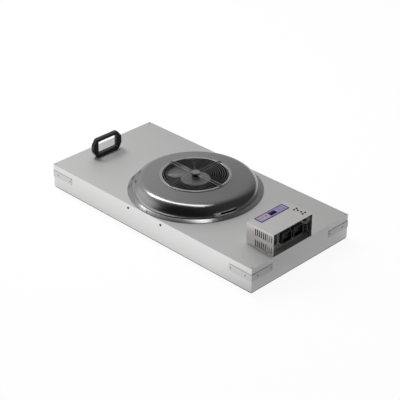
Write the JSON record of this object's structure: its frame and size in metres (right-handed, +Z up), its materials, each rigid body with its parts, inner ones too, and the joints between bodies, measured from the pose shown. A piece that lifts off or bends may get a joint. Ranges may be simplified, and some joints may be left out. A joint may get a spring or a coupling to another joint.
{
  "type": "fan filter unit",
  "caption": "Flat steel ceiling module with a spun inlet dome and guarded fan, a side control box, a carrying handle and a pleated filter below.",
  "frame": {"origin": "middle of the gasket face that rests on the ceiling grid", "axes": "+Z up against the air flow, +X along the module toward the control box, +Y across it"},
  "size_m": [1.172, 0.572, 0.2098],
  "materials": {
    "sheet_steel": "satin, fine brushed",
    "strap_steel": "satin",
    "fastener_steel": "satin",
    "gasket_foam": "matte closed-cell foam",
    "seal_foam": "matte closed-cell foam",
    "filter_aluminium": "anodised, satin",
    "filter_paper": "matte pleated fleece",
    "guard_white": "powder coat",
    "plate_aluminium": "mill finish",
    "dome_metal": "smooth, glossy grey",
    "nozzle_metal": "bright",
    "guard_wire": "bright",
    "post_black": "semi-gloss",
    "cap_metal": "satin",
    "motor_aluminium": "die cast, matte",
    "board_green": "solder mask",
    "stator_iron": "lacquered windings",
    "bearing_steel": "ground",
    "shaft_steel": "ground",
    "rotor_black": "satin black",
    "magnet_grey": "matte",
    "wheel_aluminium": "mill finish",
    "cable_black": "matte",
    "box_steel": "satin",
    "plate_grey": "satin",
    "label_lilac": "gloss film",
    "display_navy": "gloss",
    "lamp_amber": "clear gloss",
    "standoff_brass": "plain",
    "supply_aluminium": "satin",
    "fitting_black": "moulded",
    "rocker_black": "gloss",
    "handle_black": "moulded, fine texture"
  },
  "bodies": {
    "unit": {"wall_frame": "sheet_steel", "top_cover": "sheet_steel", "corner_strap_1": "strap_steel", "corner_strap_2": "strap_steel", "corner_strap_3": "strap_steel", "corner_strap_4": "strap_steel", "strap_rivets": "fastener_steel", "corner_rivets": "fastener_steel", "cover_screws": "fastener_steel", "grid_gasket": "gasket_foam", "filter_seal": "seal_foam", "filter_frame": "filter_aluminium", "filter_media": "filter_paper", "face_guard": "guard_white", "equaliser_plate": "plate_aluminium", "filter_clamps": "fastener_steel", "clamp_nuts": "fastener_steel", "inlet_dome": "dome_metal", "inlet_nozzle": "nozzle_metal", "dome_screws": "fastener_steel", "inlet_guard": "guard_wire", "guard_feet_screws": "fastener_steel", "guard_post": "post_black", "guard_cap": "cap_metal", "motor_casting": "motor_aluminium", "stator_core": "stator_iron", "bearing_upper": "bearing_steel", "bearing_lower": "bearing_steel", "electronics_cover": "motor_aluminium", "drive_board": "board_green", "fan_cable": "cable_black", "nozzle_grommet": "cable_black", "panel_grommet": "cable_black", "control_box": "box_steel", "connector_plate": "plate_grey", "plate_screws": "fastener_steel", "box_top_screws": "fastener_steel", "key_label": "label_lilac", "display_window": "display_navy", "status_lamps": "lamp_amber", "control_board": "board_green", "board_standoffs": "standoff_brass", "supply_module": "supply_aluminium", "power_inlet": "fitting_black", "power_outlet": "fitting_black", "data_ports": "fitting_black", "fuse_holder": "fitting_black", "switch_frame": "fitting_black", "handle": "handle_black", "handle_screws": "fastener_steel"},
    "fan": {"fan_shaft": "shaft_steel", "rotor_cup": "rotor_black", "rotor_magnets": "magnet_grey", "impeller": "wheel_aluminium", "impeller_screws": "fastener_steel"},
    "rocker": {"power_rocker": "rocker_black"}
  },
  "joints": [
    {"name": "fan_spin", "type": "hinge", "parent": "unit", "child": "fan", "pos_m": [0, 0, 0.1], "axis": [0, 0, 1], "continuous": true},
    {"name": "rocker_tilt", "type": "hinge", "parent": "unit", "child": "rocker", "pos_m": [0.559, -0.134, 0.166], "axis": [0, 1, 0], "range_deg": [0, 20]}
  ]
}
